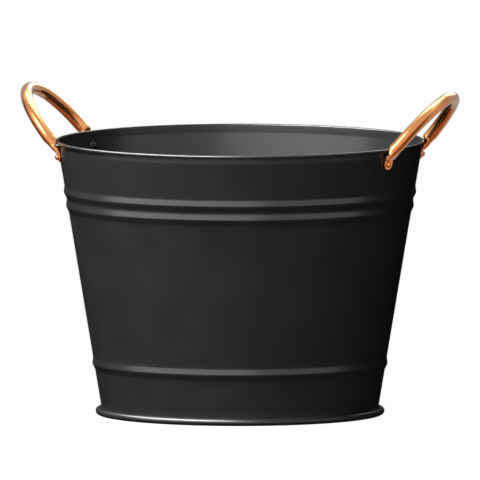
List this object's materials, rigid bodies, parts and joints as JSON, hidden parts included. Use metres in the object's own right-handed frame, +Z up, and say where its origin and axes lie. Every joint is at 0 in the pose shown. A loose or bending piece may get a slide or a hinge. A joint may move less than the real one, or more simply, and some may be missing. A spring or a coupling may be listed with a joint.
{
  "type": "florist bucket",
  "caption": "Tapered round sheet-metal tub with a wired rim, raised beads, a rolled foot and two fixed copper-coloured loop handles riveted under the rim.",
  "frame": {"origin": "centre of the ring that the bucket stands on, at floor level", "axes": "+Z up out of the mouth; +X towards the right handle, along the line through both handles; -Y is the front"},
  "size_m": [0.3698, 0.3058, 0.2716],
  "materials": {
    "black_enamel": "satin black enamel",
    "copper": "bright copper plate",
    "plain_wire": "plain drawn steel wire"
  },
  "bodies": {
    "root": {"bucket_wall": "black_enamel", "rim_wire": "plain_wire", "base_pan": "black_enamel", "right_handle": "copper", "right_front_rivet": "copper", "right_front_washer": "black_enamel", "right_back_rivet": "copper", "right_back_washer": "black_enamel", "left_handle": "copper", "left_front_rivet": "copper", "left_front_washer": "black_enamel", "left_back_rivet": "copper", "left_back_washer": "black_enamel"}
  },
  "joints": []
}
